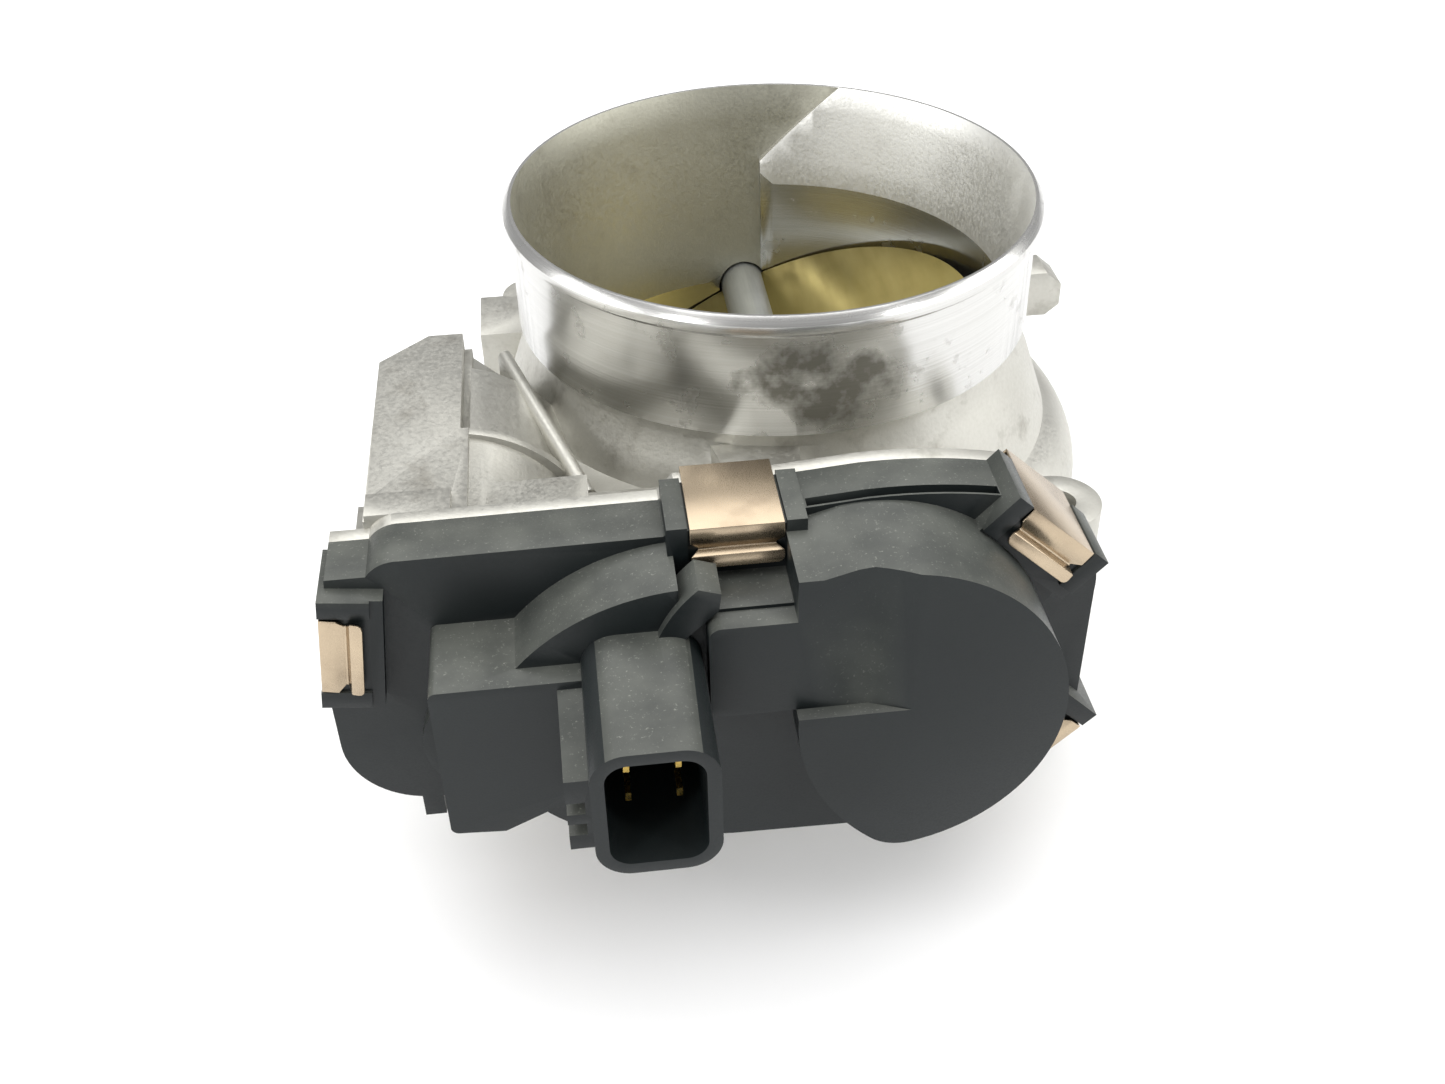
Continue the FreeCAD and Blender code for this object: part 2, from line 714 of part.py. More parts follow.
def motor_block():
    """Front of the box over the motor pinion, with its lower right corner taken off."""
    return path_xz([
        (-66.2, 38.0),
        (-64.7, 36.5, -65.8, 36.9),
        (-57.5, 36.0),
        (-48.5, 40.5),
        (-40.0, 40.5),
        (-40.0, 67.4),
        (-64.7, 67.4),
        (-66.2, 65.9, -65.8, 67.0),
    ])


def drum_body():
    """Front drum over the sector gear, with its lowest corner rounded."""
    drum = ahead(drum_outline(), joint_face, drum_front)
    corner = [e for e in drum.Edges if edge_along(e, 5.4)]
    return drum.makeFillet(8.0, corner)


def edge_along(edge, x):
    """True for the straight edge along Y that stands at this x on the drum's lower side."""
    ends = [v.Point for v in edge.Vertexes]
    return all(abs(p.x - x) < 0.01 and p.z < drum_z for p in ends) and len(ends) == 2


def label_groove():
    """Groove along the top of the cover, in front of the band that carries the label."""
    outline = case_outline()
    ring = ahead(outline, 78.6, 80.6).cut(ahead(inset(outline, 1.8), 78.0, 81.0))
    return ring.common(block(-6.2, 24.4, -81.0, -78.0, 70.0, 90.0))


def drum_facet(lower=0.0, back=0.0):
    """What is taken off the drum's upper left, so that it falls to the lower middle plane."""
    plan = [
        (-30.0, -mid_front + back),
        (1.3 + lower, -mid_front + back),
        (7.7 + lower, -drum_front + back),
        (7.7 + lower, -drum_front - 2.0),
        (-30.0, -drum_front - 2.0),
    ]
    return column(plan, facet_z - lower, 95.0)


def socket_wing():
    """Latch wing on the left of the socket, with its two slots."""
    side = [(-96.0, 66.2), (-112.0, 61.5), (-112.0, 47.0), (-96.0, 43.0)]
    points = [vec(-46.8, y, z) for y, z in side]
    wing = Part.Face(Part.makePolygon(points + [points[0]])).extrude(vec(4.6, 0, 0))
    for z in (50.0, 54.5):
        wing = wing.cut(block(-47.5, -44.0, -113.0, -104.0, z, z + 2.4))
    return wing


def hood_fin():
    """Curved fin between the hood, the centre clip and the socket."""
    outline = path_xz([
        (-24.6, 81.0),
        (-31.6, 70.4, -29.3, 75.4),
        (-30.0, 68.6),
        (-21.6, 76.6),
        (-21.2, 79.8),
    ])
    return ahead(outline, 87.2, 94.6)


def socket_outline():
    return rounded_box(-43.0, -24.2, 47.8, 72.4, 5.5)


def gearbox_cover():
    outline = case_outline()
    outside = [ahead(outline, joint_face, cover_plate)]
    outside.append(drum_body().cut(drum_facet()))
    outside.append(ahead(rounded_box(-23.5, -7.0, facet_z, 75.0, 2.0), joint_face, mid_front))
    outside.append(ahead(rounded_box(-24.0, 10.0, 24.9, 60.0, 4.0), joint_face, low_front))
    outside.append(front_left())
    outside.append(ahead(motor_block(), joint_face, mid_front))
    outside.append(rod_y(-57.5, 43.8, -83.9, -joint_face, 12.7))
    outside.append(block(-72.6, -69.0, -80.0, -joint_face - 1.0, 23.4, 33.0))
    outside += [socket_wing(), hood_fin()]
    outside.append(ahead(socket_outline(), joint_face, connector_mouth))
    tower = seat_tower()
    outside += [on_seat(tower, seat) for seat in clip_seats]
    body = fuse(outside)
    body = body.cut(fuse(cover_space())).cut(label_groove())
    pin_seat = tube_y(idler_x, idler_z, -hood_front + 1.0, -89.5, 5.0, 2.6)
    body = fuse([body, pin_seat] + board_pegs())
    inside = inset(socket_outline(), socket_wall)
    body = body.cut(ahead(inside, socket_floor, connector_mouth + 1))
    for x, z in connector_places():
        body = body.cut(pin_blade(x, z))
    return body.removeSplitter()


def cover_space():
    outline = case_outline()
    spaces = [ahead(inset(outline, 3.2), joint_face - 1, cover_plate - wall)]
    drum = ahead(drum_outline(wall), joint_face - 1, drum_front - wall)
    spaces.append(drum.cut(drum_facet(wall, wall)))
    middle = rounded_box(-21.0, -5.0, facet_z + wall, 72.5, 1.0)
    spaces.append(ahead(middle, joint_face - 1, mid_front - wall))
    spaces.append(ahead(rounded_box(-26.0, 8.0, 29.0, 60.0, 2.0), joint_face - 1, low_front - wall))
    spaces.append(front_left(wall))
    spaces.append(ahead(rounded_box(-64.0, -45.5, 43.0, 64.9, 1.0), joint_face - 1, mid_front - wall))
    spaces.append(rod_y(0, shaft_z, -sector_front - 1.5, -joint_face + 1, 26.9))
    return spaces


def board_pegs():
    """Pegs from the cover's front wall that carry the sensor board."""
    pegs = [rod_y(0.0, 68.0, -mid_front + 1.0, -board_front, 2.0)]
    for x, z in ((0.0, 46.5), (21.0, 46.5), (21.0, 68.0)):
        pegs.append(rod_y(x, z, -drum_front + 1.0, -board_front, 2.0))
    return pegs


def connector_places():
    return [(x, z) for x in (-37.5, -29.7) for z in (54.0, 60.1, 66.2)]


def pin_blade(x, z):
    return block(x - 0.45, x + 0.45, -109.0, -91.5, z - 0.8, z + 0.8)


def connector_pins():
    return Part.makeCompound([pin_blade(x, z) for x, z in connector_places()])


def cover_gasket():
    outline = case_outline()
    ring = ahead(inset(outline, 1.2), joint_face - 1.2, joint_face)
    return ring.cut(ahead(inset(outline, 2.6), joint_face - 2, joint_face + 1))


def sensor_board():
    return ahead(rounded_box(-4.0, 24.5, 42.5, 71.5, 4.0), board_back, board_front)


def sensor_chip():
    chip = block(-3.5, 3.5, -board_back, -board_back + 1.6, shaft_z - 3.5, shaft_z + 3.5)
    pieces = [chip]
    for number in range(4):
        x = -3.0 + 1.7 * number
        pieces.append(block(x, x + 0.6, -board_back, -board_back + 0.6, shaft_z - 5.2, shaft_z - 3.5))
    return fuse(pieces)


def cover_clips():
    clip = spring_clip()
    return Part.makeCompound([on_seat(clip, seat) for seat in clip_seats])


def stop_pin():
    """Closed-throttle stop that the sector's leading edge meets."""
    return rod_y(stop_x, stop_z, -78.0, -66.5, 2.0)


# ---- write every part ---------------------------------------------------------------------------
makers = {
    "throttle_housing": throttle_housing,
    "throttle_shaft": throttle_shaft,
    "throttle_plate": throttle_plate,
    "plate_screws": plate_screws,
    "sector_gear": sector_gear,
    "sensor_magnet": sensor_magnet,
    "front_bearing": lambda: bearing(-pan_floor - 2.5, -53.0),
    "rear_bearing": lambda: bearing(50.0, 57.5),
    "shaft_seal": shaft_seal,
    "end_plug": end_plug,
    "return_spring": return_spring,
    "intermediate_gear": intermediate_gear,
    "gear_pin": gear_pin,
    "motor_can": motor_can,
    "motor_magnets": motor_magnets,
    "motor_armature": motor_armature,
    "motor_rear_bush": motor_rear_bush,
    "motor_end_plate": motor_end_plate,
    "motor_screws": motor_screws,
    "motor_terminals": motor_terminals,
    "motor_pinion": motor_pinion,
    "gearbox_cover": gearbox_cover,
    "connector_pins": connector_pins,
    "cover_gasket": cover_gasket,
    "sensor_board": sensor_board,
    "sensor_chip": sensor_chip,
    "cover_clips": cover_clips,
    "stop_pin": stop_pin,
}

for name, maker in makers.items():
    shape = maker()
    shape.exportStep("parts/" + name + ".step")
    print(name, "solids", len(shape.Solids), "valid", shape.isValid(), "volume", round(shape.Volume, 1))
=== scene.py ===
import bmesh
import bpy
import json
import math
from mathutils import Matrix, Vector

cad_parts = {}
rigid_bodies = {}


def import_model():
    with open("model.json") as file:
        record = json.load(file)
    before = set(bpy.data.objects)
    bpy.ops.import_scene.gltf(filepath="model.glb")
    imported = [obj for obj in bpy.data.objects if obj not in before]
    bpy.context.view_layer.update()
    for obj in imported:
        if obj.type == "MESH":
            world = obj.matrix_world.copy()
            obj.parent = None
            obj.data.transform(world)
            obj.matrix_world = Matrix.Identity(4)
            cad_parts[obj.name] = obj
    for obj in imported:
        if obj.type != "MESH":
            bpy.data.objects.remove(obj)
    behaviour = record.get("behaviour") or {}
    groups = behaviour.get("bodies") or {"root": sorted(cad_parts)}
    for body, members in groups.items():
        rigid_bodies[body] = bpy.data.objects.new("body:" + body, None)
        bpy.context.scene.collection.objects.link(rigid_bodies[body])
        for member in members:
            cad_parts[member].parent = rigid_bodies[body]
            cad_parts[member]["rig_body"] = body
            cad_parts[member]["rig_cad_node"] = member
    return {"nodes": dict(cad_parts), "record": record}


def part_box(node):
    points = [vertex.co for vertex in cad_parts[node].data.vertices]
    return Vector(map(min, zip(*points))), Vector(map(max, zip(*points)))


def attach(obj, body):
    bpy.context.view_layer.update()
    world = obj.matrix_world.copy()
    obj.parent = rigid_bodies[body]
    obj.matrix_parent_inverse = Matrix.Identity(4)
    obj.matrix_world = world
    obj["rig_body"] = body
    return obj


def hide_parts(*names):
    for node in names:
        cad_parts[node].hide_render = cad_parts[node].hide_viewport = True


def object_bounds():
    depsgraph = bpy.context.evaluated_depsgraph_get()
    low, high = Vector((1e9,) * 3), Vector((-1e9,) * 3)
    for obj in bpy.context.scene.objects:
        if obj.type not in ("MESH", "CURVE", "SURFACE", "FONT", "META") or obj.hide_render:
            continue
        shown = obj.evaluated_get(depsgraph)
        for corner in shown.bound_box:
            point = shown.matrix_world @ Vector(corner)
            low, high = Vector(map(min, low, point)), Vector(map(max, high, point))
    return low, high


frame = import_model()
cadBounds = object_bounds()
print("frame loaded", len(frame["nodes"]), "nodes")


def mm(value):
    return value / 1000.0


# small helpers for colours and shader nodes
def colour(hexCode):
    channels = [int(hexCode[i:i + 2], 16) / 255.0 for i in (1, 3, 5)]
    linear = [c / 12.92 if c <= 0.04045 else ((c + 0.055) / 1.055) ** 2.4 for c in channels]
    return (linear[0], linear[1], linear[2], 1.0)


def addNode(tree, kind, inputs=None, **settings):
    node = tree.nodes.new(kind)
    for name, value in settings.items():
        setattr(node, name, value)
    for name, value in (inputs or {}).items():
        if isinstance(value, bpy.types.NodeSocket):
            tree.links.new(value, node.inputs[name])
        else:
            node.inputs[name].default_value = value
    return node


def newMaterial(name, roughness, metallic=0.0):
    material = bpy.data.materials.new(name)
    material.use_nodes = True
    shader = material.node_tree.nodes["Principled BSDF"]
    shader.inputs["Roughness"].default_value = roughness
    shader.inputs["Metallic"].default_value = metallic
    return material, material.node_tree, shader


def mixColours(tree, factor, first, second):
    node = addNode(tree, "ShaderNodeMix", data_type="RGBA")
    for socket, value in ((node.inputs[0], factor), (node.inputs[6], first), (node.inputs[7], second)):
        if isinstance(value, bpy.types.NodeSocket):
            tree.links.new(value, socket)
        else:
            socket.default_value = value
    return node.outputs[2]


def rampOf(tree, factor, low, high, start=0.0, end=1.0):
    node = addNode(tree, "ShaderNodeMapRange", {0: factor, 1: low, 2: high, 3: start, 4: end})
    return node.outputs[0]


castLook = {
    "stain": "#7C766B", "cloudMm": 22.0, "grainMm": 0.7, "stainMm": 9.0,
    "roughness": (0.38, 0.56), "metallic": 0.9, "bumpMm": 0.04, "bumpStrength": 0.8,
}


def castAluminium(name, light, dark, stainAmount=0.35):
    # shot-blasted die casting: a pale satin grey with soft clouds, small pits and old oil stains
    material, tree, shader = newMaterial(name, castLook["roughness"][0], castLook["metallic"])
    place = addNode(tree, "ShaderNodeTexCoord").outputs["Object"]
    clouds = addNode(tree, "ShaderNodeTexNoise",
                     {"Vector": place, "Scale": 1 / mm(castLook["cloudMm"]), "Detail": 3.0})
    grain = addNode(tree, "ShaderNodeTexNoise",
                    {"Vector": place, "Scale": 1 / mm(castLook["grainMm"]), "Detail": 2.0})
    stains = addNode(tree, "ShaderNodeTexNoise",
                     {"Vector": place, "Scale": 1 / mm(castLook["stainMm"]), "Detail": 5.0, "Roughness": 0.65})
    base = mixColours(tree, clouds.outputs["Fac"], colour(light), colour(dark))
    spotted = rampOf(tree, stains.outputs["Fac"], 0.56, 0.74, 0.0, stainAmount)
    tree.links.new(mixColours(tree, spotted, base, colour(castLook["stain"])), shader.inputs["Base Color"])
    uneven = rampOf(tree, grain.outputs["Fac"], 0.3, 0.7, *castLook["roughness"])
    tree.links.new(uneven, shader.inputs["Roughness"])
    bump = addNode(tree, "ShaderNodeBump",
                   {"Height": grain.outputs["Fac"], "Distance": mm(castLook["bumpMm"]),
                    "Strength": castLook["bumpStrength"]})
    tree.links.new(bump.outputs["Normal"], shader.inputs["Normal"])
    return material


turnedLook = {
    "light": "#DCDCDA", "dark": "#BCBBB8", "darkTone": "#6B685D", "lineMm": 0.3, "smearMm": 6.0,
    "patchMm": (2.5, -49.0, 86.5), "patchShape": (0.62, 0.5, 1.15), "patchInnerMm": 5.0, "patchOuterMm": 12.0,
    "ringBumpMm": 0.02,
}


def turnedAluminium(name, roughness, darkeningAmount):
    # lathe-turned aluminium: bright, with fine rings round the bore, blotchy grime smears, and one fixed patch
    # at the collar's front that is darker and duller
    material, tree, shader = newMaterial(name, roughness, metallic=1.0)
    place = addNode(tree, "ShaderNodeTexCoord").outputs["Object"]
    stretched = addNode(tree, "ShaderNodeMapping",
                        {"Vector": place, "Scale": (6.0, 6.0, 1 / mm(turnedLook["lineMm"]))})
    rings = addNode(tree, "ShaderNodeTexNoise", {"Vector": stretched.outputs[0], "Scale": 1.0, "Detail": 2.0})
    smears = addNode(tree, "ShaderNodeTexNoise",
                     {"Vector": place, "Scale": 1 / mm(turnedLook["smearMm"]), "Detail": 5.0, "Roughness": 0.6})
    # a fixed patch at the collar's front, drawn darker and duller than the rest of the collar
    spot = [mm(v) for v in turnedLook["patchMm"]]
    offset = addNode(tree, "ShaderNodeVectorMath", {0: place, 1: spot}, operation="SUBTRACT").outputs[0]
    squeezed = addNode(tree, "ShaderNodeVectorMath", {0: offset, 1: turnedLook["patchShape"]},
                       operation="MULTIPLY")
    far = addNode(tree, "ShaderNodeVectorMath", {0: squeezed.outputs[0]}, operation="LENGTH")
    patch = rampOf(tree, far.outputs["Value"], mm(turnedLook["patchInnerMm"]), mm(turnedLook["patchOuterMm"]),
                   0.30, 0.0)
    near = addNode(tree, "ShaderNodeMath", {0: smears.outputs["Fac"], 1: patch}, operation="ADD")
    darkened = rampOf(tree, near.outputs[0], 0.60, 0.86, 0.0, darkeningAmount)
    base = mixColours(tree, rings.outputs["Fac"], colour(turnedLook["light"]), colour(turnedLook["dark"]))
    tree.links.new(mixColours(tree, darkened, base, colour(turnedLook["darkTone"])), shader.inputs["Base Color"])
    duller = rampOf(tree, near.outputs[0], 0.6, 0.85, roughness, roughness + 0.25)
    tree.links.new(duller, shader.inputs["Roughness"])
    bump = addNode(tree, "ShaderNodeBump",
                   {"Height": rings.outputs["Fac"], "Distance": mm(turnedLook["ringBumpMm"]), "Strength": 0.5})
    tree.links.new(bump.outputs["Normal"], shader.inputs["Normal"])
    return material


# the pale tone serves both the dust specks and the painted top light on up-facing faces
coverLook = {
    "dark": "#101415", "light": "#191F20", "dustAndTopLight": "#8D8F86",
    "cloudMm": 30.0, "grainMm": 0.35, "dustMm": 0.55, "topLightCloudMm": 9.0, "bumpMm": 0.02,
    "roughness": (0.34, 0.47), "specularLevel": 0.3,
}


def mouldedNylon(name, dustAndTopLightAmount):
    # glass-filled nylon from a spark-eroded mould: dull green-black, with pale dust specks on top and a pale
    # film over every up-facing face that is painted top light;
    # the moulded grain is finer than this and is drawn as coarse as it needs to show
    material, tree, shader = newMaterial(name, coverLook["roughness"][0])
    shader.inputs["Specular IOR Level"].default_value = coverLook["specularLevel"]
    place = addNode(tree, "ShaderNodeTexCoord").outputs["Object"]
    normal = addNode(tree, "ShaderNodeNewGeometry").outputs["Normal"]
    up = addNode(tree, "ShaderNodeSeparateXYZ", {0: normal}).outputs["Z"]
    clouds = addNode(tree, "ShaderNodeTexNoise",
                     {"Vector": place, "Scale": 1 / mm(coverLook["cloudMm"]), "Detail": 4.0})
    grain = addNode(tree, "ShaderNodeTexNoise",
                    {"Vector": place, "Scale": 1 / mm(coverLook["grainMm"]), "Detail": 2.0})
    specks = addNode(tree, "ShaderNodeTexNoise",
                     {"Vector": place, "Scale": 1 / mm(coverLook["dustMm"]), "Detail": 4.0, "Roughness": 0.7})
    topLightClouds = addNode(tree, "ShaderNodeTexNoise",
                     {"Vector": place, "Scale": 1 / mm(coverLook["topLightCloudMm"]), "Detail": 3.0})
    base = mixColours(tree, clouds.outputs["Fac"], colour(coverLook["dark"]), colour(coverLook["light"]))
    facing = rampOf(tree, up, 0.1, 0.95)
    # a pale film, never less than 0.17, over every up-facing face: painted top light; the specks below are the
    # real dust
    paintedTopLight = rampOf(tree, topLightClouds.outputs["Fac"], 0.35, 0.65, 0.17, 0.30)
    dots = rampOf(tree, specks.outputs["Fac"], 0.60, 0.74, 0.0, 0.5)
    both = addNode(tree, "ShaderNodeMath", {0: paintedTopLight, 1: dots}, operation="ADD")
    topLightAndDust = addNode(tree, "ShaderNodeMath", {0: facing, 1: both.outputs[0]}, operation="MULTIPLY")
    amount = addNode(tree, "ShaderNodeMath", {0: topLightAndDust.outputs[0], 1: dustAndTopLightAmount}, operation="MULTIPLY")
    dustedAndLit = mixColours(tree, amount.outputs[0], base, colour(coverLook["dustAndTopLight"]))
    tree.links.new(dustedAndLit, shader.inputs["Base Color"])
    uneven = rampOf(tree, grain.outputs["Fac"], 0.3, 0.7, *coverLook["roughness"])
    tree.links.new(uneven, shader.inputs["Roughness"])
    bump = addNode(tree, "ShaderNodeBump",
                   {"Height": grain.outputs["Fac"], "Distance": mm(coverLook["bumpMm"]), "Strength": 0.5})
    tree.links.new(bump.outputs["Normal"], shader.inputs["Normal"])
    return material


grainLook = {"cloudMm": 12.0, "smoother": 0.06, "rougher": 0.08, "bumpStrength": 0.6}


def grainedMaterial(name, light, dark, grainMm, roughness, metallic=0.0, bumpMm=0.02, stretch=(1.0, 1.0, 1.0)):
    # ground, drawn or moulded stock: an even tone with fine grain, pulled along the way it was worked
    material, tree, shader = newMaterial(name, roughness, metallic=metallic)
    place = addNode(tree, "ShaderNodeTexCoord").outputs["Object"]
    pulled = addNode(tree, "ShaderNodeMapping", {"Vector": place, "Scale": stretch}).outputs[0]
    grain = addNode(tree, "ShaderNodeTexNoise", {"Vector": pulled, "Scale": 1 / mm(grainMm), "Detail": 3.0})
    clouds = addNode(tree, "ShaderNodeTexNoise",
                     {"Vector": place, "Scale": 1 / mm(grainLook["cloudMm"]), "Detail": 3.0})
    both = addNode(tree, "ShaderNodeMath", {0: grain.outputs["Fac"], 1: clouds.outputs["Fac"]},
                   operation="MULTIPLY")
    base = mixColours(tree, rampOf(tree, both.outputs[0], 0.1, 0.45), colour(light), colour(dark))
    tree.links.new(base, shader.inputs["Base Color"])
    uneven = rampOf(tree, grain.outputs["Fac"], 0.3, 0.7, roughness - grainLook["smoother"],
                    roughness + grainLook["rougher"])
    tree.links.new(uneven, shader.inputs["Roughness"])
    bump = addNode(tree, "ShaderNodeBump",
                   {"Height": grain.outputs["Fac"], "Distance": mm(bumpMm),
                    "Strength": grainLook["bumpStrength"]})
    tree.links.new(bump.outputs["Normal"], shader.inputs["Normal"])
    return material


clipLook = {
    "light": "#BFAE95", "dark": "#A69681", "worn": "#857562", "cloudMm": 7.0, "lineMm": 0.12,
    "roughness": (0.25, 0.33),
}


def springSteel(name):
    # rolled and tempered strip: even bronze-grey with a satin sheen, rubbed duller in faint patches
    material, tree, shader = newMaterial(name, clipLook["roughness"][0], metallic=1.0)
    place = addNode(tree, "ShaderNodeTexCoord").outputs["Object"]
    clouds = addNode(tree, "ShaderNodeTexNoise",
                     {"Vector": place, "Scale": 1 / mm(clipLook["cloudMm"]), "Detail": 3.0})
    lines = addNode(tree, "ShaderNodeTexNoise",
                    {"Vector": place, "Scale": 1 / mm(clipLook["lineMm"]), "Detail": 1.0})
    base = mixColours(tree, clouds.outputs["Fac"], colour(clipLook["light"]), colour(clipLook["dark"]))
    rubbed = rampOf(tree, clouds.outputs["Fac"], 0.58, 0.75, 0.0, 0.4)
    tree.links.new(mixColours(tree, rubbed, base, colour(clipLook["worn"])), shader.inputs["Base Color"])
    uneven = rampOf(tree, lines.outputs["Fac"], 0.3, 0.7, *clipLook["roughness"])
    tree.links.new(uneven, shader.inputs["Roughness"])
    return material


# one finish for each of the record's slots, and four more for parts of the casting and the cover; the ramp's
# paler copy is painted light and the socket's darker copy is painted shade
looks = {
    "cast_aluminium": castAluminium("shotBlastedAluminium", "#CCCBC4", "#ADABA3", 0.5),
    "cast_throat": castAluminium("castAluminiumThroat", "#BBBAAD", "#A3A194", 0.25),
    # a paler copy of the casting for the ramp that faces the light: painted light
    "cast_ramp": castAluminium("castAluminiumRampLit", "#E6E6E3", "#D4D3CE", 0.12),
    "turned": turnedAluminium("turnedAluminium", 0.24, 0.8),
    "bored": turnedAluminium("boredAluminium", 0.22, 0.2),
    "steel": grainedMaterial("groundSteel", "#C4C6C2", "#A9ABA6", 1.2, 0.36, 0.75, 0.005, (1.0, 0.1, 1.0)),
    "brass": grainedMaterial("rolledBrass", "#94874F", "#7F723F", 3.0, 0.36, 1.0, 0.004, (1.0, 0.15, 1.0)),
    "gear_plastic": grainedMaterial("mouldedAcetal", "#DCD4BF", "#C9BFA6", 2.0, 0.42),
    "magnet": grainedMaterial("bondedFerrite", "#3B3A3A", "#262525", 0.8, 0.55),
    "seal_rubber": grainedMaterial("mouldedNitrile", "#232323", "#161616", 0.9, 0.62),
    "spring_steel": grainedMaterial("drawnSpringWire", "#6D6B68", "#4D4B49", 0.8, 0.35, 1.0),
    "zinc_steel": grainedMaterial("zincPlatedSteel", "#B4B4AE", "#93938C", 3.0, 0.34, 1.0),
    "armature_steel": grainedMaterial("laminatedCore", "#7F776B", "#5E574D", 0.5, 0.45, 1.0, 0.03,
                                      (0.1, 1.0, 0.1)),
    "bronze": grainedMaterial("sinteredBronze", "#B08A5A", "#8B6A42", 0.5, 0.45, 1.0),
    "end_plastic": grainedMaterial("mouldedEndCap", "#26282A", "#1A1B1D", 0.7, 0.5),
    "contact_metal": grainedMaterial("goldFlashedContact", "#E0C170", "#C8A653", 0.8, 0.28, 1.0),
    "cover_plastic": mouldedNylon("glassFilledNylon", 1.0),
    # a darker copy of the nylon with almost none of the pale top film: painted shade inside the connector
    # socket
    "socket_inside": mouldedNylon("glassFilledNylonSocketShaded", 0.05),
    "circuit_board": grainedMaterial("glassEpoxyBoard", "#1F5A38", "#174429", 0.7, 0.38),
    "chip_plastic": grainedMaterial("mouldedEpoxy", "#1B1B1C", "#121213", 0.6, 0.5),
    "clip_steel": springSteel("temperedClipSteel"),
}
print("materials made", len(looks))

# every carried-over CAD node takes the finish of its slot
slotOf = {part["node"]: part["material_slot"] for part in frame["record"]["subparts"]}
for node, piece in frame["nodes"].items():
    piece.data.materials.clear()
    piece.data.materials.append(looks[slotOf[node]])


def deselect():
    bpy.ops.object.select_all(action="DESELECT")


edgeLook = {"mergeMm": 0.002, "sliverMm": 0.001, "sharperThan": 32.0, "smoothBelow": 35.0}


def roundedCopy(node, name, body, widthMm, segments):
    # a moulded or cast part has no sharp edge, so its CAD mesh is copied, merged and rounded
    source = frame["nodes"][node]
    piece = source.copy()
    piece.data = source.data.copy()
    piece.name = name
    piece.data.name = name
    bpy.context.scene.collection.objects.link(piece)
    piece.parent = None
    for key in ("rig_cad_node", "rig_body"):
        if key in piece:
            del piece[key]
    mesh = bmesh.new()
    mesh.from_mesh(piece.data)
    bmesh.ops.remove_doubles(mesh, verts=mesh.verts, dist=mm(edgeLook["mergeMm"]))
    bmesh.ops.dissolve_degenerate(mesh, edges=mesh.edges, dist=mm(edgeLook["sliverMm"]))
    mesh.to_mesh(piece.data)
    mesh.free()
    deselect()
    piece.select_set(True)
    bpy.context.view_layer.objects.active = piece
    bevel = piece.modifiers.new("roundEdges", "BEVEL")
    bevel.width = mm(widthMm)
    bevel.segments = segments
    bevel.limit_method = "ANGLE"
    bevel.angle_limit = math.radians(edgeLook["sharperThan"])
    bevel.miter_outer = "MITER_ARC"
    bpy.ops.object.modifier_apply(modifier="roundEdges")
    bpy.ops.object.shade_smooth_by_angle(angle=math.radians(edgeLook["smoothBelow"]))
    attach(piece, body)
    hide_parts(node)
    return piece


housing = roundedCopy("throttle_housing", "castHousing", "housing", 0.9, 2)
cover = roundedCopy("gearbox_cover", "gearCover", "housing", 1.1, 3)
print("housing", len(housing.data.polygons), "cover", len(cover.data.polygons))


def paintFaces(piece, names, choose):
    for name in names:
        piece.data.materials.append(looks[name])
    for face in piece.data.polygons:
        found = choose(face.center * 1000.0, face.normal)
        face.material_index = names.index(found) + 1 if found else 0


# where the casting's finishes, and the painted light on the ramp, begin and end: radii from the bore's axis and
# heights, in mm
castingZones = {
    "collarFoot": 76.2, "collarInner": 48.9, "collarOuter": 51.6, "throatOuter": 49.8,
    "boreWall": 45.2, "coneFoot": 56.0, "rampFoot": 79.0, "stepFoot": (4.0, 84.0), "stepSlope": 18.0 / 17.0,
}


def castingLook(spot, normal):
    zone = castingZones
    far = math.hypot(spot.x, spot.y)
    outward = (spot.x * normal.x + spot.y * normal.y) / max(far, 0.01)
    onCollar = spot.z > zone["collarFoot"] and zone["collarInner"] < far < zone["collarOuter"]
    if onCollar and (outward > -0.2 or normal.z > 0.5):
        return "turned"
    if far < zone["throatOuter"] and outward < -0.3:
        if far <= zone["boreWall"]:
            return "bored"
        stepX = zone["stepFoot"][0] + max(0.0, spot.z - zone["stepFoot"][1]) * zone["stepSlope"]
        # the ramp inside the throat takes the paler casting copy: painted light
        if spot.z > zone["rampFoot"] and spot.x > stepX - 0.4:
            return "cast_ramp"
        return "cast_throat" if spot.z > zone["coneFoot"] else "bored"
    return None


pinLow, pinHigh = [corner * 1000.0 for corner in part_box("connector_pins")]
socketRoom = {"side": 4.8, "below": 5.4, "above": 4.4, "front": -96.0}


# faces inside the connector socket take the darker nylon copy: painted shade in the recess
def coverFaceLook(spot, normal):
    acrossSocket = pinLow.x - socketRoom["side"] < spot.x < pinHigh.x + socketRoom["side"]
    upSocket = pinLow.z - socketRoom["below"] < spot.z < pinHigh.z + socketRoom["above"]
    return "socket_inside" if acrossSocket and upSocket and spot.y < socketRoom["front"] else None


paintFaces(housing, ["turned", "bored", "cast_throat", "cast_ramp"], castingLook)
paintFaces(cover, ["socket_inside"], coverFaceLook)

# the clips are drawn once as a bent strip and copied to each seat
# each row: distance along Y, height over the seat, half the width (mm)
clipShape = {
    "rows": [(-67.95, -2.7, 7.3), (-67.95, 0.55, 7.3), (-84.55, 0.55, 7.3), (-84.75, -1.9, 7.3),
             (-84.1, -3.0, 6.1), (-84.15, -3.6, 6.1), (-85.3, -4.1, 7.2), (-85.75, -6.0, 7.2)],
    "foldMm": 0.9, "thickMm": 0.5, "cornerMm": 1.0, "brokenEdgeMm": 0.12, "topMm": 0.85,
}


